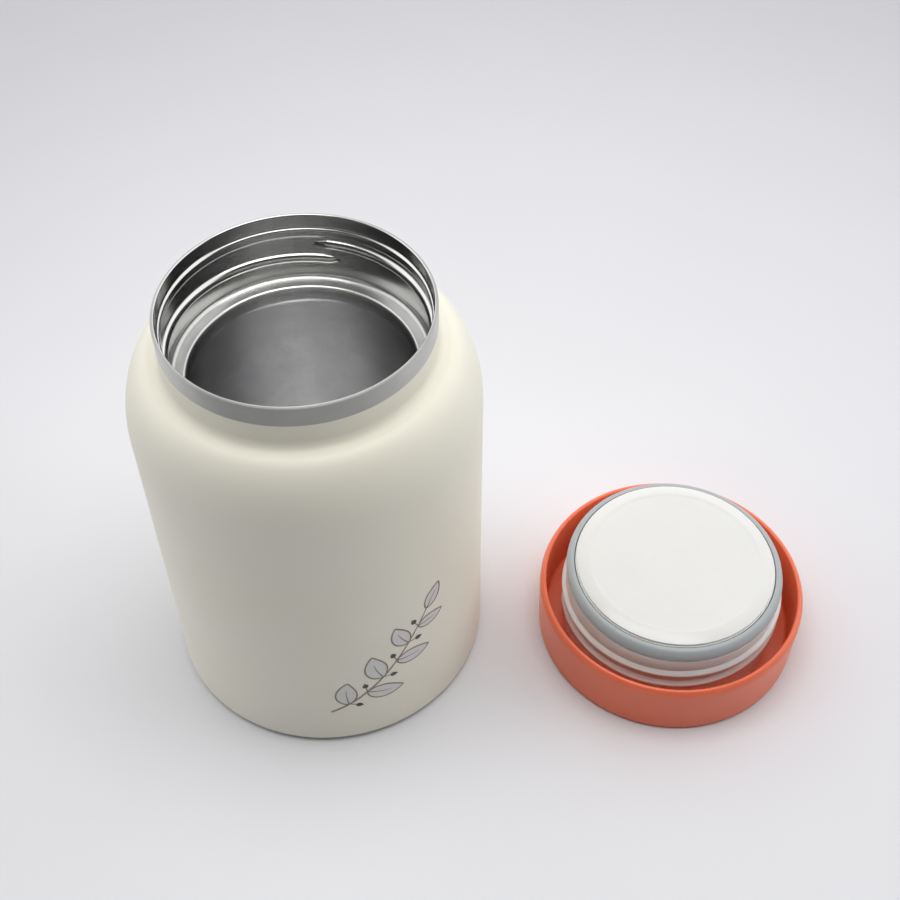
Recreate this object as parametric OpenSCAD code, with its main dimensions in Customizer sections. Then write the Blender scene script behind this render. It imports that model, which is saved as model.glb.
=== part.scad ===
// Insulated food jar: a double-walled steel vacuum jar, open, with its screw
// lid laid upside down on the table beside it.
//
// The origin is the centre of the jar's foot on the table, +Z is up and +X
// points from the jar to the lid. Every piece is a revolve about the axis of
// the jar or of the lid, and every sheet-steel piece is one bent path with the
// same sheet thickness. Heights inside the lid are measured from the table,
// so they grow towards the jar end of the plug.

/* [Jar body] */
// Outside diameter of the jar
body_d = 95; // [92:0.5:120]
// Height of the jar from the table to its lip
jar_h = 134; // [120:0.5:200]
// Thickness of the steel sheet
sheet_t = 0.5; // [0.4:0.05:0.6]
// Gap between the two walls, where the vacuum is
vacuum_gap = 3.7; // [3:0.1:6]
// Height of the curved shoulder
shoulder_h = 19.6; // [14:0.1:26]
// Fullness of the shoulder curve, 2 is an ellipse, more is squarer and less is flatter
shoulder_fullness = 1.86; // [1.6:0.02:2.6]
// Radius rolled into the lower edge of the shell
base_round = 0.8; // [0.75:0.05:1.5]
// Height that the base plate stands out below the shell
foot_h = 1.7; // [1.5:0.1:4]

/* [Neck] */
// Inside diameter at the lip
mouth_d = 70; // [62:0.5:72]
// Height of the bare steel collar folded down from the lip
collar_h = 6.1; // [3:0.1:8]
// Height from the lip to the foot of the straight neck
neck_h = 11.4; // [9:0.1:18]
// Radius between the neck and the shoulder
neck_fillet = 2.6; // [1:0.1:3.5]
// How far the thread wall stands in from the lip
neck_step = 0.4; // [0.2:0.05:0.7]
// How far the bead above the thread stands in from the thread wall
bead_rise = 0.3; // [0.15:0.05:0.6]
// Depth from the lip to the start of the bead
bead_depth = 3.8; // [2:0.1:5]
// Height of the straight crest of the bead
bead_crest_h = 1.4; // [1:0.1:3]
// Bend radius of the bead
bead_bend = 0.8; // [0.7:0.1:1.5]

/* [Seat and throat] */
// Depth from the lip to the seat that the gasket presses on
seat_depth = 21.4; // [18:0.1:30]
// Width of the seat from its corner to the throat
seat_w = 2.8; // [2:0.1:4]
// Corner radius between the thread wall and the seat
seat_fillet = 1.6; // [0.8:0.1:2]
// Radius of the edge where the seat turns down into the throat
seat_edge = 0.8; // [0.7:0.05:1.2]
// Height of the throat from the seat to the shoulder of the liner
throat_h = 6.2; // [4.5:0.1:9]
// Radius of the lower edge of the throat
throat_edge = 2; // [1:0.1:3]

/* [Bottom of the jar] */
// Height of the food floor above the table
floor_z = 8.5; // [7.5:0.1:14]
// Corner radius between the floor and the wall of the liner
floor_round = 8; // [4:0.5:12]
// Height of the weld between the liner and its bottom above the floor
liner_weld_h = 11; // [10:0.5:20]
// Height of the flange welded to the inside of the shell
base_flange_h = 5; // [3:0.5:8]
// Width of the ring that the jar stands on
foot_ring_w = 3; // [2:0.1:6]
// Depth of the recess inside the standing ring
base_recess = 1.1; // [0.6:0.1:1.3]
// Radius of the bends in the two base plates
base_bend = 0.7; // [0.65:0.05:1]

/* [Vacuum parts] */
// Thickness of the foil wrapped round the liner
foil_t = 0.15; // [0.1:0.05:0.3]
// Distance from the lower edge of the foil to the weld of the liner
foil_margin = 10; // [2:1:20]
// Radius of the dimple round the evacuation hole
dimple_r = 5; // [4:0.5:8]
// Height of the dimple
dimple_h = 1.5; // [1:0.1:2]
// Radius of the bends round the dimple
dimple_bend = 1; // [1:0.1:1.5]
// Radius of the evacuation hole
vent_r = 0.8; // [0.5:0.1:1.5]
// Radius of the head of the glass bead that seals the hole
bead_head_r = 2; // [1.8:0.1:2.5]
// Height of the head of the glass bead
bead_head_h = 0.7; // [0.4:0.1:1]
// Distance of the getter from the axis
getter_x = 20; // [15:1:28]
// Radius of the getter pill
getter_r = 4; // [3:0.5:6]
// Height of the getter pill
getter_h = 1.2; // [0.8:0.1:1.6]
// Thickness of the clip over the getter
clip_t = 0.25; // [0.2:0.05:0.4]
// Width of the spot-welded rim of the clip
clip_rim_w = 2; // [1:0.5:3]

/* [Lid cover] */
// Distance between the jar and the lid laid beside it
lid_gap = 18.6; // [5:0.1:60]
// Height of the lid cover
cover_h = 20.3; // [16:0.1:22]
// Thickness of the skirt of the lid cover
cover_wall = 1.9; // [1.4:0.1:3]
// Thickness of the top of the lid cover
cover_top_t = 2.4; // [1.6:0.1:4]
// Clearance between the neck of the jar and the skirt
skirt_clear = 2.7; // [1.5:0.1:5]
// How much narrower the skirt is at the top of the lid than at its rim
skirt_draft = 0.4; // [0:0.1:1]
// Radius of the outside edge of the cover
cover_round = 1.5; // [0.5:0.1:3]
// Height of the soft rounding outside the rim of the cover
rim_round_h = 2.5; // [1:0.1:4]
// Radius of the inside edge of the rim
rim_edge = 0.5; // [0.3:0.1:1]
// Radius of the corner inside the cover
cover_fillet = 1.2; // [0.5:0.1:2]
// Height of the ring inside the cover that centres the plug
boss_h = 4; // [2:0.5:8]
// Thickness of that ring
boss_t = 1.4; // [1:0.1:2]
// Clearance round the foam inside the plug
foam_clear = 0.3; // [0.2:0.1:1]

/* [Plug] */
// Height of the screw thread on the neck and on the plug
thread_rise = 1.2; // [0.8:0.1:1.5]
// Clearance between the crest of one thread and the wall of the other
thread_clear = 0.8; // [0.4:0.1:1.2]
// Gap between the lip and the inside of the cover when the lid is shut
lip_gap = 5.7; // [2:0.1:8]
// Thickness of the wall of the plug
plug_wall = 1.6; // [1.2:0.1:2]
// Rounding of the shoulder of the plug
plug_round = 0.6; // [0.3:0.1:1]
// Thickness of the collar that carries the gasket
spigot_wall = 1.1; // [0.9:0.1:1.5]
// Clearance between pieces that are pressed or welded together
joint_clear = 0.1; // [0.05:0.05:0.2]

/* [Disc and gasket] */
// Clearance between the throat of the jar and the disc
throat_clear = 0.3; // [0.2:0.1:1]
// Thickness of the disc that closes the plug
disc_t = 1.7; // [1.4:0.1:3]
// Width of the crowned edge of the disc
crown_w = 4.7; // [1.2:0.1:6]
// Drop of the crowned edge of the disc
crown_drop = 0.9; // [0.3:0.1:1.2]
// Depth of the rim under the disc
disc_rim_h = 2.5; // [1:0.1:4]
// Thickness of the rim under the disc
disc_rim_t = 1.2; // [0.8:0.1:2]
// Step from the edge of the disc out to the collar that it sits on
disc_step = 0.4; // [0.2:0.1:0.8]
// Height of the gasket
gasket_h = 4.4; // [3:0.1:6]
// How far the gasket stands out past the plug
gasket_proud = 0.3; // [0.1:0.1:0.6]
// Clearance between the gasket and the collar that it slides over
gasket_clear = 0.3; // [0.2:0.05:0.4]
// How far the seat squeezes the gasket when the lid is shut
gasket_squeeze = 0.2; // [0.1:0.05:0.4]
// Width of the flat top of the gasket beside the disc
gasket_top_w = 0.6; // [0.4:0.1:0.9]
// How far the underside of the gasket stands back from its widest point
gasket_foot_in = 0.8; // [0.6:0.1:1.2]
// Height of the outermost point of the gasket above its underside
gasket_belly_h = 1.5; // [1:0.1:2.2]

/* [Hidden] */
$fn = 96;
ARC_STEPS = 12;
SHOULDER_STEPS = 28;
SAME = 0.001;

// Neck and lip
body_r = body_d / 2;
mouth_r = mouth_d / 2;
neck_r = mouth_r + 2 * sheet_t;
collar_z = jar_h - collar_h;
neck_low_z = jar_h - neck_h;
wall_r = mouth_r - neck_step;
bead_r = wall_r - bead_rise;
bead_top_z = jar_h - bead_depth;
bead_low_z = bead_top_z - s_bend_h(mouth_r, bead_r, bead_bend) - bead_crest_h;

// Shoulder of the shell
shoulder_r = neck_r + neck_fillet;
shoulder_top_z = neck_low_z - neck_fillet;
shoulder_low_z = shoulder_top_z - shoulder_h;

// Seat, throat and cavity
seat_z = jar_h - seat_depth;
throat_r = wall_r - seat_fillet - seat_w;
throat_low_z = seat_z - throat_h + throat_edge;
cavity_r = body_r - 2 * sheet_t - vacuum_gap;
liner_round = cavity_r - throat_r - throat_edge;
liner_wall_top_z = throat_low_z - throat_edge - liner_round;
liner_weld_z = floor_z + liner_weld_h;

// Base plates
vacuum_base_z = foot_h + sheet_t;
vacuum_base_r = body_r - sheet_t;
vent_z = vacuum_base_z + dimple_h;
base_cover_r = body_r - base_round - sheet_t;
base_panel_r = base_cover_r - base_bend - foot_ring_w;

// Lid
cover_rim_r = neck_r + skirt_clear + cover_wall;
cover_foot_r = cover_rim_r - skirt_draft;
lid_x = body_r + lid_gap + cover_rim_r;
plug_r = wall_r - thread_rise - thread_clear;
plug_bore_r = plug_r - plug_wall;
disc_r = throat_r - throat_clear;
spigot_r = disc_r + disc_step;
spigot_bore_r = spigot_r - spigot_wall;
gasket_bore_r = spigot_r + gasket_clear;
gasket_r = plug_r + gasket_proud;
seal_u = cover_top_t + lip_gap + seat_depth;
gasket_top_u = seal_u + gasket_squeeze;
plug_shoulder_u = gasket_top_u - gasket_h;
disc_u = gasket_top_u - joint_clear;
disc_rim_r = spigot_bore_r - joint_clear;
foam_r = disc_rim_r - disc_rim_t - foam_clear;
boss_r = plug_bore_r - joint_clear;

// ---- outlines -------------------------------------------------------------

// Points along an arc about c, from angle a to angle b
function arc_pts(c, r, a, b, steps = ARC_STEPS) =
    [for (i = [0:steps]) let (t = a + (b - a) * i / steps) [c[0] + r * cos(t), c[1] + r * sin(t)]];

// Angle and height of the S-bend that takes a wall from radius r0 to radius r1
function s_bend_a(r0, r1, bend) = acos(1 - abs(r0 - r1) / (2 * bend));
function s_bend_h(r0, r1, bend) = 2 * bend * sin(s_bend_a(r0, r1, bend));

// S-bend that starts at radius r0 and height z0 and runs down to radius r1.
// off moves it away from the axis, for the other face of the sheet.
function s_bend(r0, r1, z0, bend, off) =
    let (a = s_bend_a(r0, r1, bend), z1 = z0 - s_bend_h(r0, r1, bend))
    r0 > r1
        ? concat(arc_pts([r0 - bend, z0], bend + off, 0, -a),
                 arc_pts([r1 + bend, z1], bend - off, 180 - a, 180))
        : concat(arc_pts([r0 + bend, z0], bend - off, 180, 180 + a),
                 arc_pts([r1 - bend, z1], bend + off, a, 0));

// The same bend in a flat plate: it starts at height z0 and radius r0 and runs
// inwards to height z1
function plate_bend(z0, z1, r0, bend, off) = [for (p = s_bend(z0, z1, r0, bend, off)) [p[1], p[0]]];

// Quarter of a superellipse about c, from its top to its side
function super_quarter(c, w, h, fullness, steps) =
    [for (i = [0:steps]) let (t = 90 * i / steps)
        [c[0] + w * pow(sin(t), 2 / fullness), c[1] + h * pow(cos(t), 2 / fullness)]];

function reversed(pts) = [for (i = [len(pts) - 1:-1:0]) pts[i]];

// The points without those that repeat the one before
function distinct(pts) = [for (i = [0:len(pts) - 1]) if (i == 0 || norm(pts[i] - pts[i - 1]) > SAME) pts[i]];

// Revolve of the closed outline between two paths
module revolve(near, far = []) {
    rotate_extrude() polygon(distinct(concat(near, reversed(far))));
}

// Everything in the lid stands on the lid's own axis
module at_lid() {
    translate([lid_x, 0, 0]) children();
}

// ---- jar ------------------------------------------------------------------

// Outer wall: neck, full shoulder, straight side and rolled lower edge.
// off is the distance inwards from the painted face.
function shell_path(off) = concat(
    [[neck_r - off, collar_z]],
    arc_pts([shoulder_r, neck_low_z], neck_fillet + off, 180, 270),
    super_quarter([shoulder_r, shoulder_low_z], body_r - shoulder_r - off, shoulder_h - off,
                  shoulder_fullness, SHOULDER_STEPS),
    arc_pts([body_r - base_round, foot_h + base_round], base_round - off, 0, -90),
    [[base_cover_r, foot_h + off]]);

module outer_shell() {
    color("cornsilk") revolve(shell_path(0), shell_path(sheet_t));
}

// Food side of the liner from the bead down to the weld at its bottom.
// off is the distance outwards from the food side.
function liner_path(off) = concat(
    s_bend(mouth_r, bead_r, bead_top_z, bead_bend, off),
    s_bend(bead_r, wall_r, bead_low_z, bead_bend, off),
    arc_pts([wall_r - seat_fillet, seat_z + seat_fillet], seat_fillet + off, 0, -90),
    arc_pts([throat_r + seat_edge, seat_z - seat_edge], seat_edge - off, 90, 180),
    arc_pts([throat_r + throat_edge, throat_low_z], throat_edge - off, 180, 270),
    arc_pts([throat_r + throat_edge, liner_wall_top_z], liner_round + off, 90, 0),
    [[cavity_r + off, liner_weld_z]]);

// Inner wall with its lip folded over and down as the bare collar
module inner_liner() {
    lip = arc_pts([mouth_r + sheet_t, jar_h - sheet_t], sheet_t, 0, 180);
    collar = [[neck_r, collar_z], [neck_r - sheet_t, collar_z]];
    color("silver") revolve(concat(lip, liner_path(0)), concat(collar, liner_path(sheet_t)));
}

function liner_base_path(off) = concat(
    [[cavity_r + off, liner_weld_z]],
    arc_pts([cavity_r - floor_round, floor_z + floor_round], floor_round + off, 0, -90),
    [[0, floor_z - off]]);

module liner_base() {
    color("silver") revolve(liner_base_path(0), liner_base_path(sheet_t));
}

// Foil that throws heat back, wrapped round the straight part of the liner
module heat_shield() {
    foil_r = cavity_r + sheet_t;
    foil_low_z = liner_weld_z + foil_margin;
    color("peru") revolve([[foil_r, foil_low_z], [foil_r + foil_t, foil_low_z],
                           [foil_r + foil_t, liner_wall_top_z], [foil_r, liner_wall_top_z]]);
}

// Inner bottom plate: it closes the vacuum, with the evacuation hole in a dimple
function vacuum_base_path(off) = concat(
    [[vacuum_base_r - off, vacuum_base_z + base_flange_h]],
    arc_pts([vacuum_base_r - base_bend, vacuum_base_z + base_bend], base_bend - off, 0, -90),
    plate_bend(vacuum_base_z, vent_z, dimple_r, dimple_bend, off),
    [[vent_r, vent_z + off]]);

module vacuum_base() {
    color("silver") revolve(vacuum_base_path(0), vacuum_base_path(sheet_t));
}

// Glass bead melted into the evacuation hole
module seal_bead() {
    color("darkslategray") {
        translate([0, 0, vent_z]) cylinder(r = vent_r, h = sheet_t);
        translate([0, 0, vent_z - bead_head_h]) cylinder(r = bead_head_r, h = bead_head_h);
    }
}

module getter() {
    color("dimgray") translate([getter_x, 0, vacuum_base_z + sheet_t])
        cylinder(r = getter_r, h = getter_h);
}

// Hat-shaped clip spot-welded over the getter
module getter_clip() {
    cup_r = getter_r + joint_clear;
    cup_h = getter_h + joint_clear;
    color("gainsboro") translate([getter_x, 0, vacuum_base_z + sheet_t]) difference() {
        union() {
            cylinder(r = cup_r + clip_t, h = cup_h + clip_t);
            cylinder(r = cup_r + clip_t + clip_rim_w, h = clip_t);
        }
        translate([0, 0, -1]) cylinder(r = cup_r, h = cup_h + 1);
    }
}

// Outer bottom plate with the ring that the jar stands on
function base_cover_path(off) = concat(
    [[base_cover_r - off, vacuum_base_z]],
    arc_pts([base_cover_r - base_bend, base_bend], base_bend - off, 0, -90),
    plate_bend(0, base_recess, base_panel_r, base_bend, off),
    [[0, base_recess + off]]);

module base_cover() {
    color("silver") revolve(base_cover_path(0), base_cover_path(sheet_t));
}

// ---- lid, upside down on the table ----------------------------------------

module lid_cover() {
    inside_r = cover_rim_r - cover_wall;
    corner_r = inside_r - skirt_draft;
    rim_top_r = inside_r + rim_edge;
    rim = super_quarter([rim_top_r, cover_h - rim_round_h], cover_wall - rim_edge, rim_round_h,
                        2, ARC_STEPS);
    outside = concat(
        [[0, 0]],
        arc_pts([cover_foot_r - cover_round, cover_round], cover_round, -90, 0),
        reversed(rim),
        arc_pts([rim_top_r, cover_h - rim_edge], rim_edge, 90, 180),
        arc_pts([corner_r - cover_fillet, cover_top_t + cover_fillet], cover_fillet, 0, -90));
    boss = [[boss_r, cover_top_t], [boss_r, cover_top_t + boss_h],
            [boss_r - boss_t, cover_top_t + boss_h], [boss_r - boss_t, cover_top_t]];
    color("coral") at_lid() revolve(concat(outside, boss, [[0, cover_top_t]]));
}

// Clear plug: wall that carries the thread, shoulder, and collar for the gasket
module plug_shell() {
    outside = concat(
        [[plug_r, cover_top_t]],
        arc_pts([plug_r - plug_round, plug_shoulder_u - plug_round], plug_round, 0, 90),
        [[spigot_r, plug_shoulder_u], [spigot_r, disc_u]]);
    inside = [[plug_bore_r, cover_top_t], [plug_bore_r, plug_shoulder_u - plug_wall],
              [spigot_bore_r, plug_shoulder_u - plug_wall], [spigot_bore_r, disc_u]];
    color("mistyrose") at_lid() revolve(outside, inside);
}

// Disc that closes the plug, with a crowned edge and a rim inside the collar
module plug_disc() {
    disc_top_u = disc_u + disc_t;
    crown_r = (pow(crown_w, 2) + pow(crown_drop, 2)) / (2 * crown_drop);
    crown_a = asin(crown_w / crown_r);
    edge = arc_pts([disc_r - crown_w, disc_top_u - crown_r], crown_r, 90, 90 - crown_a);
    rim_in_r = disc_rim_r - disc_rim_t;
    color("white") at_lid() revolve(concat(
        [[0, disc_top_u]], edge,
        [[disc_r, disc_u], [disc_rim_r, disc_u], [disc_rim_r, disc_u - disc_rim_h],
         [rim_in_r, disc_u - disc_rim_h], [rim_in_r, disc_u], [0, disc_u]]));
}

// Foam block that fills the plug between the cover and the disc
module plug_foam() {
    color("whitesmoke") at_lid() translate([0, 0, cover_top_t])
        cylinder(r = foam_r, h = disc_u - cover_top_t - joint_clear);
}

// Silicone ring pushed over the collar of the plug
module lid_gasket() {
    belly_u = plug_shoulder_u + gasket_belly_h;
    foot_r = gasket_r - gasket_foot_in;
    top_r = gasket_bore_r + gasket_top_w;
    belly = [for (t = [90:-90 / ARC_STEPS:0])
        [top_r + (gasket_r - top_r) * cos(t), belly_u + (gasket_top_u - belly_u) * sin(t)]];
    under = [for (t = [0:90 / ARC_STEPS:90])
        [foot_r + (gasket_r - foot_r) * cos(t), belly_u - gasket_belly_h * sin(t)]];
    color("slategray") at_lid() revolve(concat(
        [[gasket_bore_r, plug_shoulder_u], [gasket_bore_r, gasket_top_u]], belly, under));
}

outer_shell();
inner_liner();
liner_base();
heat_shield();
vacuum_base();
getter();
getter_clip();
seal_bead();
base_cover();
lid_cover();
plug_shell();
plug_disc();
plug_foam();
lid_gasket();
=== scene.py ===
"""Insulated food jar: finishes, screw threads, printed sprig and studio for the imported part."""

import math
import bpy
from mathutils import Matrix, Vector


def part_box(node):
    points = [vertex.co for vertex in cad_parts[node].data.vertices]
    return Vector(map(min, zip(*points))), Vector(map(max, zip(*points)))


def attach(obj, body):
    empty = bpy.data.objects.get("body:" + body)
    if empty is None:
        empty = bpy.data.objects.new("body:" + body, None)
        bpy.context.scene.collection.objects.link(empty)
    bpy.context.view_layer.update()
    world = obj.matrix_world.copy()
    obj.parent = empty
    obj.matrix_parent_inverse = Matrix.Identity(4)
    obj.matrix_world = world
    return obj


bl_info = {
    "name": "Insulated food jar",
    "version": (1, 0, 0),
    "blender": (4, 5, 0),
    "location": "View3D > Sidebar > Food jar",
    "description": "Finishes the steel food jar and its lid, adds their threads and sets the stage",
    "category": "Object",
}

import bpy
from bpy.props import FloatProperty, FloatVectorProperty, PointerProperty
from bpy.types import Operator, Panel, PropertyGroup
from mathutils import Matrix, Vector

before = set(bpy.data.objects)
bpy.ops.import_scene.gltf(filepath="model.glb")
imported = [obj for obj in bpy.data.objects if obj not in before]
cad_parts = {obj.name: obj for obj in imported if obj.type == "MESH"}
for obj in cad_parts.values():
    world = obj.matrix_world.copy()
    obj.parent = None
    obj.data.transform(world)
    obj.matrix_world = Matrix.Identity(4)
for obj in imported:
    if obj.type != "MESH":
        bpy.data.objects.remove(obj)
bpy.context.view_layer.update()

MM = 0.001
TURN = 2 * math.pi

# Studio walls, and the paper far out as it fades into them
WALL_WHITE = "FCFCFF"


# ---- colours, nodes and meshes ---------------------------------------------


def linear(code):
    """The linear colour of an sRGB hex code."""
    values = [int(code[i:i + 2], 16) / 255 for i in (0, 2, 4)]
    return [v / 12.92 if v <= 0.04045 else ((v + 0.055) / 1.055) ** 2.4 for v in values]


def add(tree, kind, settings=None, links=None):
    """Adds a node. A setting names a socket or a property, and a link names the socket that it feeds."""
    node = tree.nodes.new(kind)
    for name, value in (settings or {}).items():
        if isinstance(name, int) or name in node.inputs:
            node.inputs[name].default_value = value
        else:
            setattr(node, name, value)
    for name, source in (links or {}).items():
        tree.links.new(source, node.inputs[name])
    return node


def start_material(name):
    """An empty node material, its tree and the place on the object in metres."""
    material = bpy.data.materials.new(name)
    material.use_nodes = True
    tree = material.node_tree
    tree.nodes.clear()
    return material, tree, add(tree, "ShaderNodeTexCoord").outputs["Object"]


def end_material(tree, settings, links):
    """Adds the surface shader and the output."""
    shader = add(tree, "ShaderNodeBsdfPrincipled", settings, links)
    add(tree, "ShaderNodeOutputMaterial", links={"Surface": shader.outputs["BSDF"]})


def noise(tree, place, size, detail):
    """Soft noise. size is the size of its cells in mm."""
    return add(
        tree, "ShaderNodeTexNoise", {"Scale": 1 / (size * MM), "Detail": detail},
        {"Vector": place}).outputs["Fac"]


def spread(tree, source, low, high):
    """Spreads a texture's 0 to 1 over low to high."""
    return add(
        tree, "ShaderNodeMapRange", {"To Min": low, "To Max": high}, {"Value": source}).outputs[0]


def shaded(tree, colour, value):
    """A colour made lighter or darker by a value near 1."""
    return add(tree, "ShaderNodeHueSaturation", {"Color": (*colour, 1)}, {"Value": value}).outputs[0]


def bumps(tree, height, strength, depth):
    """A bumpy surface. depth is the height of its bumps in mm."""
    return add(
        tree, "ShaderNodeBump", {"Strength": strength, "Distance": depth * MM},
        {"Height": height}).outputs[0]


def dress(node, material):
    """Gives a CAD node one material."""
    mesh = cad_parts[node].data
    mesh.materials.clear()
    mesh.materials.append(material)


def make_piece(name, points, faces, material, body):
    """A smooth mesh piece that rides on a CAD body."""
    mesh = bpy.data.meshes.new(name)
    mesh.from_pydata([Vector(p) for p in points], [], faces)
    mesh.validate()
    mesh.polygons.foreach_set("use_smooth", [True] * len(mesh.polygons))
    mesh.materials.append(material)
    piece = bpy.data.objects.new(name, mesh)
    bpy.context.scene.collection.objects.link(piece)
    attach(piece, body)
    return piece


# ---- materials -------------------------------------------------------------


def powder_coat(colour, warm):
    """Polyester powder coat, sprayed and baked: an even satin film with faint orange peel."""
    material, tree, place = start_material("powder_coat_cream_baked")
    drift = noise(tree, place, 35, 2.0)
    tint = add(
        tree, "ShaderNodeMix", {"data_type": "RGBA", 6: (*colour, 1), 7: (*warm, 1)}, {0: drift})
    # Orange peel has cells of about 1.5 mm
    peel = noise(tree, place, 1.5, 1.0)
    end_material(
        tree, {"IOR": 1.5},
        {"Base Color": tint.outputs[2], "Roughness": spread(tree, drift, 0.40, 0.50),
         "Normal": bumps(tree, peel, 0.12, 0.02)})
    return material


def spun_steel(name, colour, lightened_cavity_colour, line, polish, deep, seat, collar):
    """Stainless steel, spun and then polished: rings of fine lines stretch each reflection up and down.

    line is the width in mm of the lines. polish is the roughness of the open wall and deep that of
    the wall below the seat, which is only electropolished and so softer. seat gives the roughness and
    the two heights of the gasket's seat. collar gives the roughness of the brushed collar and the
    radius and height where it starts.
    """
    material, tree, place = start_material(name)
    axes = add(tree, "ShaderNodeSeparateXYZ", links={0: place})
    flat = add(tree, "ShaderNodeVectorMath", {"operation": "MULTIPLY", 1: (1, 1, 0)}, {0: place})
    radius = add(tree, "ShaderNodeVectorMath", {"operation": "LENGTH"}, {0: flat.outputs[0]})
    height, radius = axes.outputs["Z"], radius.outputs["Value"]

    def ramp(source, start, width, low=0.0, high=1.0):
        return add(
            tree, "ShaderNodeMapRange",
            {"From Min": start, "From Max": start + width, "To Min": low, "To Max": high},
            {"Value": source}).outputs[0]

    def math_node(kind, a, b):
        return add(tree, "ShaderNodeMath", {"operation": kind}, {0: a, 1: b}).outputs[0]

    on_seat = math_node("MULTIPLY", ramp(height, seat[1], 0.8 * MM), ramp(height, seat[2], 0.5 * MM, 1, 0))
    on_collar = math_node("MULTIPLY", ramp(radius, collar[1], 0.2 * MM), ramp(height, collar[2], 2 * MM))
    open_wall = ramp(height, seat[1] - 4 * MM, 4 * MM)
    wall = add(tree, "ShaderNodeMix", {"data_type": "FLOAT", 2: deep, 3: polish}, {0: open_wall}).outputs[0]
    wall = add(tree, "ShaderNodeMix", {"data_type": "FLOAT", 3: seat[0]}, {0: on_seat, 2: wall}).outputs[0]
    zone = add(tree, "ShaderNodeMix", {"data_type": "FLOAT", 3: collar[0]}, {0: on_collar, 2: wall})
    smears = noise(tree, place, 9, 2.0)
    ring = add(tree, "ShaderNodeCombineXYZ", links={"X": radius, "Z": height})
    # Real spinning lines are 0.05 mm apart; they are drawn wider so that they show
    lines = noise(tree, ring.outputs[0], line, 3.0)
    # Painted light: the steel below the seat is lighter, for light that reaches the cavity only through the
    # mouth
    tint = add(
        tree, "ShaderNodeMix", {"data_type": "RGBA", 6: (*lightened_cavity_colour, 1), 7: (*colour, 1)}, {0: open_wall})
    # Painted shade: the collar's colour is 12 % darker, for the shade its brushed lines cast on each other
    value = math_node("MULTIPLY", ramp(on_collar, 0.0, 1.0, 1.0, 0.88), ramp(lines, 0.3, 0.4, 0.95, 1.05))
    value = math_node("MULTIPLY", value, ramp(smears, 0.3, 0.4, 0.95, 1.05))
    shade = add(tree, "ShaderNodeHueSaturation", {}, {"Color": tint.outputs[2], "Value": value})
    tangent = add(tree, "ShaderNodeTangent", {"direction_type": "RADIAL", "axis": "Z"})
    rough = math_node("MULTIPLY", zone.outputs[0], ramp(smears, 0.0, 1.0, 0.9, 1.15))
    end_material(
        tree, {"Metallic": 1.0, "Anisotropic": 0.9, "Anisotropic Rotation": 0.25},
        {"Base Color": shade.outputs[0], "Roughness": rough, "Tangent": tangent.outputs[0],
         "Normal": bumps(tree, lines, 0.06, 0.004)})
    return material


def moulded_plastic(name, colour, rough, grain, depth, subsurface, clear):
    """Polypropylene, injection moulded: a soft gloss over a waxy body that lets a little light in.

    grain is the size in mm of the tool's faint texture and depth its height in mm.
    """
    material, tree, place = start_material(name)
    flow = noise(tree, place, 14, 2.0)
    tool = noise(tree, place, grain, 2.0)
    end_material(
        tree,
        {"IOR": 1.49, "Subsurface Weight": subsurface, "Subsurface Scale": 1.2 * MM,
         "Subsurface Radius": (1.0, 0.5, 0.35), "Transmission Weight": clear},
        {"Base Color": shaded(tree, colour, spread(tree, flow, 0.97, 1.03)),
         "Roughness": spread(tree, flow, rough * 0.88, rough * 1.12),
         "Normal": bumps(tree, tool, 0.2, depth)})
    return material


def polished_plastic(colour, centre_x, step_radius):
    """Polypropylene, moulded against a polished tool: bright gloss with a shallow step round the rim."""
    material, tree, place = start_material("polypropylene_white_polished")
    flow = noise(tree, place, 14, 2.0)
    centred = add(
        tree, "ShaderNodeVectorMath", {"operation": "SUBTRACT", 1: (centre_x, 0, 0)}, {0: place})
    flat = add(
        tree, "ShaderNodeVectorMath", {"operation": "MULTIPLY", 1: (1, 1, 0)}, {0: centred.outputs[0]})
    radius = add(tree, "ShaderNodeVectorMath", {"operation": "LENGTH"}, {0: flat.outputs[0]})
    step = add(
        tree, "ShaderNodeMapRange",
        {"interpolation_type": "SMOOTHSTEP", "From Min": step_radius, "From Max": step_radius + 1.2 * MM},
        {"Value": radius.outputs["Value"]})
    end_material(
        tree, {"IOR": 1.49, "Subsurface Weight": 0.15, "Subsurface Scale": 1.2 * MM},
        {"Base Color": shaded(tree, colour, spread(tree, flow, 0.98, 1.02)),
         "Roughness": spread(tree, flow, 0.14, 0.18), "Normal": bumps(tree, step.outputs[0], 1.0, 0.12)})
    return material


def silicone(colour):
    """Silicone rubber, compression moulded: dull, with a soft bloom on its round back."""
    material, tree, place = start_material("silicone_grey_moulded")
    bloom = noise(tree, place, 6, 3.0)
    skin = noise(tree, place, 0.6, 1.0)
    end_material(
        tree, {"IOR": 1.41, "Sheen Weight": 0.15, "Sheen Roughness": 0.4},
        {"Base Color": shaded(tree, colour, spread(tree, bloom, 0.95, 1.05)),
         "Roughness": spread(tree, bloom, 0.42, 0.56), "Normal": bumps(tree, skin, 0.15, 0.02)})
    return material


def rolled_foil(colour):
    """Aluminium foil, rolled: bright, with small creases from being wrapped."""
    material, tree, place = start_material("aluminium_foil_rolled")
    crease = add(tree, "ShaderNodeTexVoronoi", {"Scale": 1 / (7 * MM)}, {"Vector": place})
    end_material(
        tree, {"Base Color": (*colour, 1), "Metallic": 1.0, "Roughness": 0.18},
        {"Normal": bumps(tree, crease.outputs["Distance"], 0.5, 0.2)})
    return material


def sintered_alloy(colour):
    """Getter alloy, pressed from powder and sintered: dull and grainy."""
    material, tree, place = start_material("getter_alloy_sintered")
    grit = add(
        tree, "ShaderNodeTexVoronoi", {"Scale": 1 / (0.4 * MM)}, {"Vector": place}).outputs["Distance"]
    end_material(
        tree, {"Metallic": 1.0, "Roughness": 0.7},
        {"Base Color": shaded(tree, colour, spread(tree, grit, 0.8, 1.2)),
         "Normal": bumps(tree, grit, 0.6, 0.1)})
    return material


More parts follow.
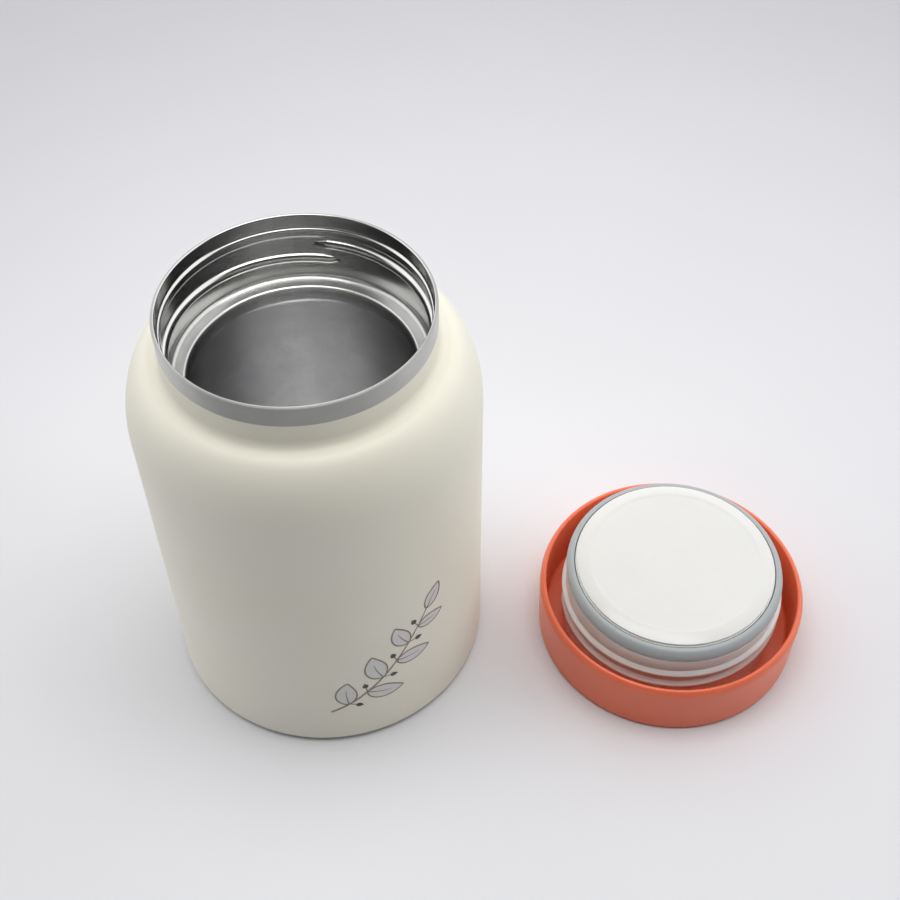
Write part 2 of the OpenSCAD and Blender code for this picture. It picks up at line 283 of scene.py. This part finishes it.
def solder_glass(colour):
    """Solder glass, melted in place: dark and wet-looking, with flow marks."""
    material, tree, place = start_material("solder_glass_melted")
    flow = add(tree, "ShaderNodeTexNoise", {"Scale": 1 / (1.2 * MM), "Distortion": 0.6}, {"Vector": place})
    end_material(
        tree, {"Base Color": (*colour, 1), "Roughness": 0.08, "IOR": 1.6, "Transmission Weight": 0.3},
        {"Normal": bumps(tree, flow.outputs["Fac"], 0.3, 0.1)})
    return material


def bead_foam(colour):
    """Expanded polystyrene, steam moulded: matt white beads pressed flat against each other."""
    material, tree, place = start_material("polystyrene_foam_steamed")
    # Beads are about 3 mm across
    beads = add(
        tree, "ShaderNodeTexVoronoi", {"feature": "DISTANCE_TO_EDGE", "Scale": 1 / (3 * MM)},
        {"Vector": place})
    edge = add(
        tree, "ShaderNodeMapRange", {"From Max": 0.12, "To Min": 0.86, "To Max": 1.0},
        {"Value": beads.outputs["Distance"]}).outputs[0]
    end_material(
        tree, {"Roughness": 0.75, "IOR": 1.5},
        {"Base Color": shaded(tree, colour, edge), "Normal": bumps(tree, edge, 0.5, 0.3)})
    return material


def pad_ink(name, colour):
    """Two-part ink, pad printed: a thin film that is slightly glossier than the coat under it."""
    material, tree, place = start_material(name)
    film = noise(tree, place, 1.8, 2.0)
    end_material(
        tree, {"IOR": 1.5},
        {"Base Color": shaded(tree, colour, spread(tree, film, 0.94, 1.06)),
         "Roughness": spread(tree, film, 0.32, 0.42)})
    return material


def sweep_paper(colour, pale):
    """Background paper, calendered: matt white with a faint mottle, which fades into the pale walls."""
    material, tree, place = start_material("background_paper_matt")
    grain = spread(tree, noise(tree, place, 60, 3.0), 0.985, 1.015)
    # Painted shade: the paper's colour darkens outwards from where the jar stands, for the light falling
    # off
    out = add(
        tree, "ShaderNodeVectorMath", {"operation": "DISTANCE", 1: (60 * MM, 90 * MM, 0)}, {0: place})
    painted_falloff = add(
        tree, "ShaderNodeMapRange",
        {"interpolation_type": "SMOOTHSTEP", "From Min": 110 * MM, "From Max": 420 * MM,
         "To Min": 1.0, "To Max": 0.85}, {"Value": out.outputs["Value"]})
    value = add(
        tree, "ShaderNodeMath", {"operation": "MULTIPLY"}, {0: grain, 1: painted_falloff.outputs[0]})
    paper = add(
        tree, "ShaderNodeBsdfPrincipled", {"Roughness": 0.9, "Specular IOR Level": 0.2},
        {"Base Color": shaded(tree, colour, value.outputs[0])})
    glow = add(tree, "ShaderNodeEmission", {"Color": (*linear(WALL_WHITE), 1), "Strength": pale})
    sweep = add(
        tree, "ShaderNodeMapRange",
        {"interpolation_type": "SMOOTHSTEP", "From Min": 550 * MM, "From Max": 1900 * MM},
        {"Value": out.outputs["Value"]})
    seen = add(
        tree, "ShaderNodeMath", {"operation": "MULTIPLY"},
        {0: sweep.outputs[0], 1: add(tree, "ShaderNodeLightPath").outputs["Is Camera Ray"]})
    surface = add(
        tree, "ShaderNodeMixShader", {}, {0: seen.outputs[0], 1: paper.outputs[0], 2: glow.outputs[0]})
    add(tree, "ShaderNodeOutputMaterial", links={"Surface": surface.outputs[0]})
    return material


# ---- settings --------------------------------------------------------------


class FoodJarColours(PropertyGroup):
    """Colours of the finishes."""

    coat: FloatVectorProperty(
        name="Coat", description="Powder coat of the shell", subtype="COLOR", default=linear("ECEADB"))
    coat_warm: FloatVectorProperty(
        name="Coat, warm", description="Warmer places of the coat", subtype="COLOR",
        default=linear("E9E5D3"))
    steel: FloatVectorProperty(
        name="Steel", description="Stainless steel of the liner's mouth", subtype="COLOR",
        default=linear("CACAC7"))
    # Painted light: lighter than the mouth's steel so that the cavity shows brighter; its real
    # electropolish only softens its roughness
    lightened_cavity_steel: FloatVectorProperty(
        name="Deep steel", description="Electropolished steel of the cavity", subtype="COLOR",
        default=linear("DADADA"))
    base_steel: FloatVectorProperty(
        name="Base steel", description="Stainless steel of the base plates", subtype="COLOR",
        default=linear("CDCCCA"))
    cover: FloatVectorProperty(
        name="Cover", description="Plastic of the lid cover", subtype="COLOR", default=linear("EB734D"))
    plug: FloatVectorProperty(
        name="Plug", description="Plastic of the plug", subtype="COLOR", default=linear("FBF4EF"))
    disc: FloatVectorProperty(
        name="Disc", description="Plastic of the disc", subtype="COLOR", default=linear("E4E3DF"))
    gasket: FloatVectorProperty(
        name="Gasket", description="Silicone of the gasket", subtype="COLOR", default=linear("AEB2B3"))
    leaf: FloatVectorProperty(
        name="Leaf", description="Ink that fills the leaves", subtype="COLOR", default=linear("D6D6D2"))
    outline: FloatVectorProperty(
        name="Outline", description="Ink of outlines and stem", subtype="COLOR",
        default=linear("8A7364"))
    seed: FloatVectorProperty(
        name="Seed", description="Ink of the seeds", subtype="COLOR", default=linear("34322F"))
    paper: FloatVectorProperty(
        name="Paper", description="Background paper", subtype="COLOR", default=linear("E4E4E6"))


class FoodJarThreads(PropertyGroup):
    """Sizes of the two screw threads."""

    pitch: FloatProperty(
        name="Pitch", description="Rise of one turn", subtype="DISTANCE", unit="LENGTH", default=5.1 * MM)
    neck_rise: FloatProperty(
        name="Neck thread height", description="How far the neck thread stands in from its wall",
        subtype="DISTANCE", unit="LENGTH", default=1.1 * MM)
    plug_rise: FloatProperty(
        name="Plug thread height", description="How far the plug thread stands out from its wall",
        subtype="DISTANCE", unit="LENGTH", default=1.2 * MM)
    neck_wall: FloatProperty(
        name="Neck wall", description="Radius of the neck's inner wall", subtype="DISTANCE",
        unit="LENGTH", default=34.6 * MM)
    neck_width: FloatProperty(
        name="Neck thread width", description="Width of the rolled thread in the neck",
        subtype="DISTANCE", unit="LENGTH", default=3.2 * MM)
    neck_low: FloatProperty(
        name="Neck thread start", description="Height of the middle of the thread at its lower end",
        subtype="DISTANCE", unit="LENGTH", default=119.2 * MM)
    neck_start: FloatProperty(
        name="Neck start angle", description="Angle of the lower end of the neck thread",
        subtype="ANGLE", unit="ROTATION", default=math.radians(77.6))
    neck_sweep: FloatProperty(
        name="Neck sweep", description="Angle that the neck thread covers", subtype="ANGLE",
        unit="ROTATION", default=math.radians(371))
    plug_wall: FloatProperty(
        name="Plug wall", description="Radius of the plug's outer wall", subtype="DISTANCE",
        unit="LENGTH", default=32.6 * MM)
    plug_width: FloatProperty(
        name="Plug thread width", description="Width of the moulded thread on the plug",
        subtype="DISTANCE", unit="LENGTH", default=2.6 * MM)
    plug_low: FloatProperty(
        name="Plug thread start", description="Height of the middle of the thread at its lower end",
        subtype="DISTANCE", unit="LENGTH", default=12.5 * MM)
    plug_start: FloatProperty(
        name="Plug start angle", description="Angle of the lower end of the plug thread",
        subtype="ANGLE", unit="ROTATION", default=math.radians(170))
    plug_sweep: FloatProperty(
        name="Plug sweep", description="Angle that the plug thread covers", subtype="ANGLE",
        unit="ROTATION", default=math.radians(620))


class FoodJarPrint(PropertyGroup):
    """Place and sizes of the printed sprig."""

    angle: FloatProperty(
        name="Angle", description="Angle round the jar of the sprig's foot", subtype="ANGLE",
        unit="ROTATION", default=math.radians(-84))
    height: FloatProperty(
        name="Height", description="Height of the sprig's foot above the table", subtype="DISTANCE",
        unit="LENGTH", default=17 * MM)
    length: FloatProperty(
        name="Length", description="Length of the sprig's stem", subtype="DISTANCE", unit="LENGTH",
        default=48 * MM)
    line: FloatProperty(
        name="Line width", description="Width of the printed outlines", subtype="DISTANCE",
        unit="LENGTH", default=0.45 * MM)
    film: FloatProperty(
        name="Film", description="Thickness of the ink", subtype="DISTANCE", unit="LENGTH",
        default=0.03 * MM)


class FoodJarStage(PropertyGroup):
    """Camera, lights and floor."""

    camera: FloatVectorProperty(
        name="Camera", description="Place of the camera", subtype="XYZ", unit="LENGTH",
        default=(48.8 * MM, -249.65 * MM, 363.6 * MM))
    yaw: FloatProperty(
        name="Yaw", description="Turn of the view from +Y towards +X", subtype="ANGLE",
        unit="ROTATION", default=math.radians(-2.383))
    pitch: FloatProperty(
        name="Pitch", description="Tilt of the view below the horizon", subtype="ANGLE",
        unit="ROTATION", default=math.radians(48.63))
    roll: FloatProperty(
        name="Roll", description="Turn of the view about its own axis", subtype="ANGLE",
        unit="ROTATION", default=math.radians(0.639))
    focal_length: FloatProperty(
        name="Focal length", description="Lens of the camera in mm", default=54.23)
    overhead: FloatProperty(
        name="Overhead light", description="Power of the soft light above", subtype="POWER",
        unit="POWER", default=1.81)
    lamp: FloatVectorProperty(
        name="Lamp", description="Place of the soft light above", subtype="XYZ", unit="LENGTH",
        default=(50 * MM, -60 * MM, 650 * MM))
    lamp_size: FloatProperty(
        name="Lamp size", description="Width of the soft light above", subtype="DISTANCE",
        unit="LENGTH", default=500 * MM)
    surround: FloatProperty(
        name="Surround", description="Strength of the walls behind and above the jar", default=0.5)
    sides: FloatProperty(
        name="Sides", description="Strength of the walls at the two sides", default=1.92)
    front: FloatProperty(
        name="Front", description="Share of the walls' light that comes from behind the camera",
        default=0.02)
    pale: FloatProperty(
        name="Pale", description="Brightness of the walls as the camera sees them", default=0.95)
    gleam: FloatProperty(
        name="Gleam", description="Brightness of the walls as metal and plastic mirror them",
        default=1.55)


# ---- threads ---------------------------------------------------------------


def ease(x):
    """Smooth step from 0 to 1."""
    x = min(max(x, 0.0), 1.0)
    return x * x * (3 - 2 * x)


def helix_ridge(name, centre_x, wall, rise, width, low, pitch, start, sweep, run_out, sink, square,
                material, body):
    """A closed ridge that climbs a round wall as a right-hand thread with faded ends.

    A positive rise stands out from the wall and a negative one stands in. sink is how far its back
    lies inside the wall, and square flattens the crest.
    """
    steps = max(24, round(sweep / math.radians(2)))
    across = 18
    points, faces = [], []
    for i in range(steps + 1):
        turn = sweep * i / steps
        angle = start + turn
        mid = low + pitch * turn / TURN
        fade = ease(turn / run_out) * ease((sweep - turn) / run_out)
        half = width / 2 * (0.25 + 0.75 * fade)
        for j in range(across + 1):
            v = 2 * j / across - 1
            crest = (0.5 + 0.5 * math.cos(math.pi * v)) ** square
            r = wall + rise * crest * fade
            points.append((centre_x + r * math.cos(angle), r * math.sin(angle), mid + v * half))
        for v in (1, -1):
            r = wall - math.copysign(sink, rise)
            points.append((centre_x + r * math.cos(angle), r * math.sin(angle), mid + v * half))
    ring = across + 3
    for i in range(steps):
        for j in range(ring):
            a, b = i * ring + j, i * ring + (j + 1) % ring
            quad = (a, b, b + ring, a + ring)
            faces.append(quad if rise < 0 else quad[::-1])
    last = steps * ring
    cap = tuple(range(ring))
    faces.append(cap[::-1] if rise < 0 else cap)
    faces.append(tuple(last + j for j in (cap if rise < 0 else cap[::-1])))
    return make_piece(name, points, faces, material, body)


# ---- printed sprig ---------------------------------------------------------


class Sheet:
    """Printed film on the round wall: points are given by length round the wall and height."""

    def __init__(self, radius, angle, height, film):
        self.radius, self.angle, self.height, self.film = radius, angle, height, film
        self.points, self.faces = [], []

    def at(self, s, z):
        turn = self.angle + s / self.radius
        r = self.radius + self.film
        self.points.append((r * math.cos(turn), r * math.sin(turn), self.height + z))
        return len(self.points) - 1

    def strip(self, pairs):
        """Joins pairs of points into a strip."""
        rows = [(self.at(*a), self.at(*b)) for a, b in pairs]
        self.faces += [(p[0], p[1], q[1], q[0]) for p, q in zip(rows, rows[1:])]

    def ribbon(self, path, width):
        """A line of even width with faded ends."""
        pairs = []
        for i, p in enumerate(path):
            a, b = Vector(path[max(i - 1, 0)]), Vector(path[min(i + 1, len(path) - 1)])
            side = (b - a).normalized().orthogonal() if (b - a).length else Vector((0, 1))
            w = width(i / (len(path) - 1)) / 2
            pairs.append(((p[0] - side.x * w, p[1] - side.y * w), (p[0] + side.x * w, p[1] + side.y * w)))
        self.strip(pairs)


def leaf_edge(t):
    """Half width of a leaf along its length: pointed at its tip, and 3.08 makes it 1 at its fullest."""
    return 3.08 * t ** 0.7 * (1 - t) ** 0.95


def leaf(fill, line, foot, turn, length, width, bend, stroke):
    """A leaf with a curved midrib: its fill, its outline and its midrib."""
    steps = 28
    rib, left, right = [foot], [foot], [foot]
    for i in range(1, steps + 1):
        heading = turn + bend * (i / steps - 0.5)
        x = rib[-1][0] + length / steps * math.cos(heading)
        z = rib[-1][1] + length / steps * math.sin(heading)
        w = width / 2 * leaf_edge(i / steps)
        rib.append((x, z))
        left.append((x - w * math.sin(heading), z + w * math.cos(heading)))
        right.append((x + w * math.sin(heading), z - w * math.cos(heading)))
    fill.strip(list(zip(left, rib)))
    fill.strip(list(zip(rib, right)))
    line.ribbon(left + right[-2::-1], lambda t: stroke)
    # The midrib thins out and stops short of the tip
    line.ribbon(rib[:round(steps * 0.72)], lambda t: stroke * (1 - 0.7 * t))


def seed(sheet, centre, turn, length, width):
    """A small seed, rounder at its foot."""
    steps = 16
    left, right = [], []
    for i in range(steps + 1):
        t = i / steps
        along = (t - 0.5) * length
        w = width / 2 * math.sin(math.pi * t ** 0.75)
        x, z = centre[0] + along * math.cos(turn), centre[1] + along * math.sin(turn)
        left.append((x - w * math.sin(turn), z + w * math.cos(turn)))
        right.append((x + w * math.sin(turn), z - w * math.cos(turn)))
    sheet.strip(list(zip(left, right)))


# ---- operators -------------------------------------------------------------


class FOODJAR_OT_shell(Operator):
    """Coat the outer shell"""

    bl_idname = "foodjar.shell"
    bl_label = "Coat shell"

    def execute(self, context):
        colours = context.scene.food_jar_colours
        dress("outer_shell", powder_coat(colours.coat, colours.coat_warm))
        return {"FINISHED"}


class FOODJAR_OT_liner(Operator):
    """Polish the liner and roll the thread into its neck"""

    bl_idname = "foodjar.liner"
    bl_label = "Finish liner"

    def execute(self, context):
        colours, threads = context.scene.food_jar_colours, context.scene.food_jar_threads
        steel = spun_steel(
            "stainless_steel_spun_polished", colours.steel, colours.lightened_cavity_steel, line=0.25, polish=0.12,
            deep=0.24, seat=(0.25, 110.8 * MM, 113.2 * MM), collar=(0.72, 35.2 * MM, 118 * MM))
        dress("inner_liner", steel)
        dress("liner_base", steel)
        helix_ridge(
            "neck_thread", 0, threads.neck_wall, -threads.neck_rise, threads.neck_width, threads.neck_low,
            threads.pitch, threads.neck_start, threads.neck_sweep, run_out=math.radians(5),
            sink=0.12 * MM, square=0.3, material=steel, body="jar")
        return {"FINISHED"}


class FOODJAR_OT_base(Operator):
    """Finish the base plates and the parts inside the vacuum"""

    bl_idname = "foodjar.base"
    bl_label = "Finish base"

    def execute(self, context):
        colour = context.scene.food_jar_colours.base_steel
        satin = 0.36
        # The plates have no seat or collar, so every zone has the same finish
        steel = spun_steel(
            "stainless_steel_pressed_satin", colour, colour, line=0.3, polish=satin, deep=satin,
            seat=(satin, 0, 10 * MM), collar=(satin, 60 * MM, 0))
        for node in ("base_cover", "vacuum_base", "getter_clip"):
            dress(node, steel)
        dress("heat_shield", rolled_foil(linear("DADADA")))
        dress("getter", sintered_alloy(linear("6E6C6A")))
        dress("seal_bead", solder_glass(linear("39423E")))
        return {"FINISHED"}


class FOODJAR_OT_sprig(Operator):
    """Print the sprig on the front of the shell"""

    bl_idname = "foodjar.sprig"
    bl_label = "Print sprig"

    def execute(self, context):
        colours, sizes = context.scene.food_jar_colours, context.scene.food_jar_print
        shell_radius = 47.5 * MM
        lean, curl, relax = 0.45, 1.15, 0.55
        leaf_angle, leaf_bend, seed_angle = 0.98, 0.5, 1.0
        stalk, seed_offset, seed_length, seed_width = 2.3 * MM, 1.0 * MM, 2.5 * MM, 1.8 * MM
        fill, line, seeds = [
            Sheet(shell_radius, sizes.angle, sizes.height, sizes.film * layer) for layer in (1, 2, 2)]
        count = 60
        stem, headings = [(0.0, 0.0)], [lean]
        for i in range(1, count + 1):
            t = i / count
            headings.append(lean + curl * t - relax * t * t)
            x, z = stem[-1]
            stem.append((x + sizes.length / count * math.cos(headings[-1]),
                         z + sizes.length / count * math.sin(headings[-1])))
        line.ribbon(stem, lambda t: sizes.line * (1.5 - 0.8 * t))
        for share, side, length, width in (
                (0.14, 1, 11.0, 6.2), (0.28, -1, 11.5, 6.0), (0.43, 1, 12.0, 6.4), (0.58, -1, 11.0, 5.6),
                (0.73, 1, 10.5, 5.4), (0.87, -1, 9.0, 4.6), (1.0, 0, 9.5, 4.6)):
            i = round(share * count)
            leaf(fill, line, stem[i], headings[i] + side * leaf_angle, length * MM, width * MM,
                 -side * leaf_bend, sizes.line)
            if side:
                # Each leaf faces a seed on a short stalk
                away = headings[i] - side * seed_angle
                tip = (stem[i][0] + stalk * math.cos(away), stem[i][1] + stalk * math.sin(away))
                line.ribbon([stem[i], tip], lambda t: sizes.line * 0.7)
                seed(seeds,
                     (tip[0] + seed_offset * math.cos(away), tip[1] + seed_offset * math.sin(away)),
                     away, seed_length, seed_width)
        for name, sheet, colour in (("print_leaves", fill, colours.leaf),
                                    ("print_outlines", line, colours.outline),
                                    ("print_seeds", seeds, colours.seed)):
            ink = pad_ink("ink_" + name.removeprefix("print_"), colour)
            make_piece(name, sheet.points, sheet.faces, ink, "jar")
        return {"FINISHED"}


class FOODJAR_OT_lid(Operator):
    """Finish the lid cover, the plug with its thread, the disc and the foam"""

    bl_idname = "foodjar.lid"
    bl_label = "Finish lid"

    def execute(self, context):
        colours, threads = context.scene.food_jar_colours, context.scene.food_jar_threads
        low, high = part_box("lid_cover")
        centre_x = (low.x + high.x) / 2
        dress("lid_cover", moulded_plastic(
            "polypropylene_coral_moulded", colours.cover, rough=0.34, grain=0.8, depth=0.01,
            subsurface=0.4, clear=0.0))
        plug = moulded_plastic(
            "polypropylene_natural_moulded", colours.plug, rough=0.22, grain=1.2, depth=0.01,
            subsurface=0.5, clear=0.08)
        dress("plug_shell", plug)
        helix_ridge(
            "plug_thread", centre_x, threads.plug_wall, threads.plug_rise, threads.plug_width,
            threads.plug_low, threads.pitch, threads.plug_start, threads.plug_sweep,
            run_out=math.radians(14), sink=0.3 * MM, square=0.5, material=plug, body="lid")
        dress("plug_disc", polished_plastic(colours.disc, centre_x, step_radius=25.2 * MM))
        dress("plug_foam", bead_foam(linear("F2F2F0")))
        return {"FINISHED"}


class FOODJAR_OT_gasket(Operator):
    """Finish the silicone gasket"""

    bl_idname = "foodjar.gasket"
    bl_label = "Finish gasket"

    def execute(self, context):
        dress("lid_gasket", silicone(context.scene.food_jar_colours.gasket))
        return {"FINISHED"}


class FOODJAR_OT_stage(Operator):
    """Lay the floor and place the lights and the camera"""

    bl_idname = "foodjar.stage"
    bl_label = "Set stage"

    def execute(self, context):
        scene, stage = context.scene, context.scene.food_jar_stage
        reach = 6.0
        mesh = bpy.data.meshes.new("paper_floor")
        corners = [(-reach, -reach, 0), (reach, -reach, 0), (reach, reach, 0), (-reach, reach, 0)]
        mesh.from_pydata(corners, [], [(0, 1, 2, 3)])
        mesh.materials.append(sweep_paper(scene.food_jar_colours.paper, stage.pale))
        floor = bpy.data.objects.new("paper_floor", mesh)
        # A hair below the foot of the jar, so that no two faces lie in one plane
        floor.location.z = -0.02 * MM
        scene.collection.objects.link(floor)

        light = bpy.data.lights.new("overhead_softbox", "AREA")
        light.shape = "DISK"
        light.size = stage.lamp_size
        light.energy = stage.overhead
        lamp = bpy.data.objects.new("overhead_softbox", light)
        lamp.location = stage.lamp
        lamp.visible_camera = False
        scene.collection.objects.link(lamp)

        world = bpy.data.worlds.new("studio_walls")
        world.use_nodes = True
        tree = world.node_tree
        tree.nodes.clear()
        aim = add(tree, "ShaderNodeTexCoord").outputs["Generated"]
        axes = add(tree, "ShaderNodeSeparateXYZ", links={0: aim})
        # The walls are dim only behind the camera
        lit = add(
            tree, "ShaderNodeMapRange",
            {"interpolation_type": "SMOOTHSTEP", "From Min": -0.42, "From Max": -0.05,
             "To Min": stage.front, "To Max": 1.0}, {"Value": axes.outputs["Y"]})
        # The two side walls are the brightest
        side = add(tree, "ShaderNodeMath", {"operation": "ABSOLUTE"}, {0: axes.outputs["X"]})
        wall = add(
            tree, "ShaderNodeMath", {"operation": "MULTIPLY"},
            {0: spread(tree, side.outputs[0], stage.surround, stage.sides), 1: lit.outputs[0]})
        # Metal and plastic still mirror a little of the dim wall
        dim_share = 0.035
        mirrored = spread(tree, lit.outputs[0], dim_share * stage.gleam, stage.gleam)
        rays = add(tree, "ShaderNodeLightPath")
        sharp = add(
            tree, "ShaderNodeMath", {"operation": "MAXIMUM"},
            {0: rays.outputs["Is Glossy Ray"], 1: rays.outputs["Is Transmission Ray"]})
        strength = add(
            tree, "ShaderNodeMix", {"data_type": "FLOAT"},
            {0: sharp.outputs[0], 2: wall.outputs[0], 3: mirrored})
        strength = add(
            tree, "ShaderNodeMix", {"data_type": "FLOAT", 3: stage.pale},
            {0: rays.outputs["Is Camera Ray"], 2: strength.outputs[0]})
        glow = add(
            tree, "ShaderNodeBackground", {"Color": (*linear(WALL_WHITE), 1)},
            {"Strength": strength.outputs[0]})
        add(tree, "ShaderNodeOutputWorld", links={"Surface": glow.outputs[0]})
        scene.world = world

        lens = bpy.data.cameras.new("camera")
        lens.sensor_width = 36
        lens.lens = stage.focal_length
        lens.clip_start = 0.01
        lens.clip_end = 50
        camera = bpy.data.objects.new("camera", lens)
        yaw, pitch, roll = stage.yaw, stage.pitch, stage.roll
        forward = Vector((
            math.sin(yaw) * math.cos(pitch), math.cos(yaw) * math.cos(pitch), -math.sin(pitch)))
        level = Vector((math.cos(yaw), -math.sin(yaw), 0))
        down = forward.cross(level)
        right = math.cos(roll) * level + math.sin(roll) * down
        up = math.sin(roll) * level - math.cos(roll) * down
        camera.matrix_world = Matrix.Translation(stage.camera) @ Matrix(
            (right, up, -forward)).transposed().to_4x4()
        scene.collection.objects.link(camera)
        scene.camera = camera
        scene.view_settings.view_transform = "Standard"
        return {"FINISHED"}


class FOODJAR_PT_panel(Panel):
    """Steps that finish the food jar"""

    bl_idname = "FOODJAR_PT_panel"
    bl_label = "Food jar"
    bl_space_type = "VIEW_3D"
    bl_region_type = "UI"
    bl_category = "Food jar"

    def draw(self, context):
        for step in STEPS:
            self.layout.operator(step.bl_idname)
        for group in ("food_jar_colours", "food_jar_threads", "food_jar_print", "food_jar_stage"):
            box = self.layout.box()
            settings = getattr(context.scene, group)
            for name in settings.__annotations__:
                box.prop(settings, name)


GROUPS = {
    "food_jar_colours": FoodJarColours,
    "food_jar_threads": FoodJarThreads,
    "food_jar_print": FoodJarPrint,
    "food_jar_stage": FoodJarStage,
}
STEPS = (
    FOODJAR_OT_shell, FOODJAR_OT_liner, FOODJAR_OT_base, FOODJAR_OT_sprig, FOODJAR_OT_lid,
    FOODJAR_OT_gasket, FOODJAR_OT_stage,
)


def register():
    for cls in (*GROUPS.values(), *STEPS, FOODJAR_PT_panel):
        bpy.utils.register_class(cls)
    for name, group in GROUPS.items():
        setattr(bpy.types.Scene, name, PointerProperty(type=group))


def unregister():
    for name in GROUPS:
        delattr(bpy.types.Scene, name)
    for cls in reversed((*GROUPS.values(), *STEPS, FOODJAR_PT_panel)):
        bpy.utils.unregister_class(cls)


def main():
    """Runs every step in order."""
    register()
    bpy.ops.foodjar.shell()
    bpy.ops.foodjar.liner()
    bpy.ops.foodjar.base()
    bpy.ops.foodjar.sprig()
    bpy.ops.foodjar.lid()
    bpy.ops.foodjar.gasket()
    bpy.ops.foodjar.stage()


if __name__ == "__main__":
    main()
